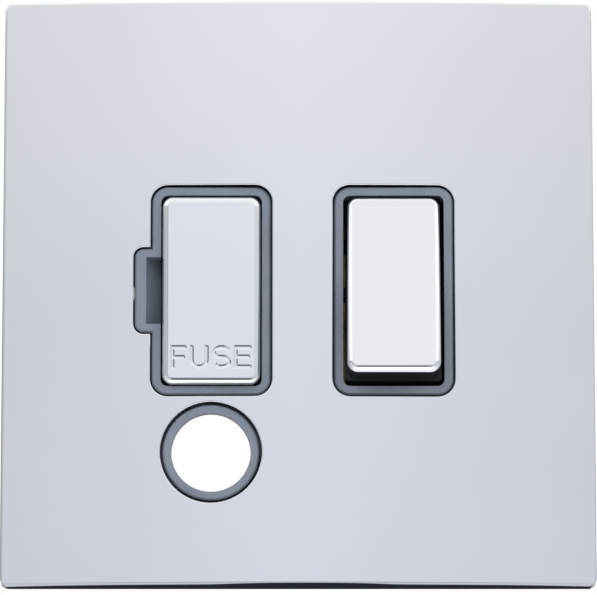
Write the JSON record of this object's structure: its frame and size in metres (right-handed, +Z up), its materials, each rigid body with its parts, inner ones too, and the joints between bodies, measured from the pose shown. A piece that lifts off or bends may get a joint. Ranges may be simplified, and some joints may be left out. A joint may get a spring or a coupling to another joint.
{
  "type": "fused spur unit",
  "caption": "Single-gang switched fused connection unit with a screwless chrome plate, pull-out fuse drawer, rocker switch and a round flex outlet, on a rear housing with terminals.",
  "frame": {"origin": "on the wall surface, midway between the two fixing screws, at the plate's centre", "axes": "+X to the right and +Z up as seen from the room, -Y out of the wall towards the room"},
  "size_m": [0.09, 0.0339, 0.09],
  "materials": {
    "chrome_finish": "polished chrome plate",
    "grey_moulding": "satin slate-grey moulded thermoset",
    "dark_moulding": "satin charcoal moulded thermoset",
    "white_nylon": "natural white nylon",
    "plated_steel": "zinc-plated steel",
    "contact_brass": "stamped and milled brass",
    "fuse_ceramic": "unglazed off-white ceramic",
    "fuse_end_plating": "nickel-plated brass cups"
  },
  "bodies": {
    "base": {"cord_grip": "grey_moulding", "cord_grip_screws": "plated_steel", "cover_screws": "plated_steel", "earth_terminal": "contact_brass", "frame_screws": "plated_steel", "front_housing": "grey_moulding", "fuse_feed_link": "contact_brass", "load_live_link": "contact_brass", "load_live_terminal": "contact_brass", "load_neutral_link": "contact_brass", "load_neutral_terminal": "contact_brass", "mounting_frame": "plated_steel", "plate_clips": "plated_steel", "rear_cover": "grey_moulding", "supply_live_link": "contact_brass", "supply_live_terminal": "contact_brass", "supply_neutral_link": "contact_brass", "supply_neutral_terminal": "contact_brass", "terminal_screws": "plated_steel"},
    "plate": {"front_plate": "chrome_finish"},
    "fuse_carrier": {"fuse_drawer": "dark_moulding", "fuse_cap": "chrome_finish", "fuse_tube": "fuse_ceramic", "fuse_end_caps": "fuse_end_plating"},
    "rocker": {"rocker_dolly": "dark_moulding", "rocker_cap": "chrome_finish", "live_plunger_spring": "plated_steel", "neutral_plunger_spring": "plated_steel"},
    "live_striker": {"live_plunger": "white_nylon"},
    "neutral_striker": {"neutral_plunger": "white_nylon"},
    "live_seesaw": {"live_contact_arm": "contact_brass"},
    "neutral_seesaw": {"neutral_contact_arm": "contact_brass"}
  },
  "joints": [
    {"name": "rocker_tilt", "type": "hinge", "parent": "base", "child": "rocker", "pos_m": [0.0145, -0.0014, 0], "axis": [1, 0, 0], "range_deg": [0, 16]},
    {"name": "fuse_pull", "type": "slide", "parent": "base", "child": "fuse_carrier", "axis": [0, -1, 0], "range_m": [0, 0.013]},
    {"name": "plate_pull", "type": "slide", "parent": "base", "child": "plate", "axis": [0, -1, 0], "range_m": [0, 0.025]},
    {"name": "live_contact_rock", "type": "hinge", "parent": "base", "child": "live_seesaw", "pos_m": [0.0181, 0.0115, 0], "axis": [1, 0, 0], "range_deg": [-14, 0]},
    {"name": "live_plunger_slide", "type": "slide", "parent": "rocker", "child": "live_striker", "axis": [0, 0.9903, -0.1392], "range_m": [0, 0.0002], "stiffness_N_per_m": 200, "springref_m": 0.0012},
    {"name": "neutral_contact_rock", "type": "hinge", "parent": "base", "child": "neutral_seesaw", "pos_m": [0.0109, 0.0115, 0], "axis": [1, 0, 0], "range_deg": [-14, 0]},
    {"name": "neutral_plunger_slide", "type": "slide", "parent": "rocker", "child": "neutral_striker", "axis": [0, 0.9903, -0.1392], "range_m": [0, 0.0002], "stiffness_N_per_m": 200, "springref_m": 0.0012}
  ],
  "couplings": [
    {"joint": "live_contact_rock", "follows": "rocker_tilt", "ratio": -0.875},
    {"joint": "neutral_contact_rock", "follows": "rocker_tilt", "ratio": -0.875}
  ]
}
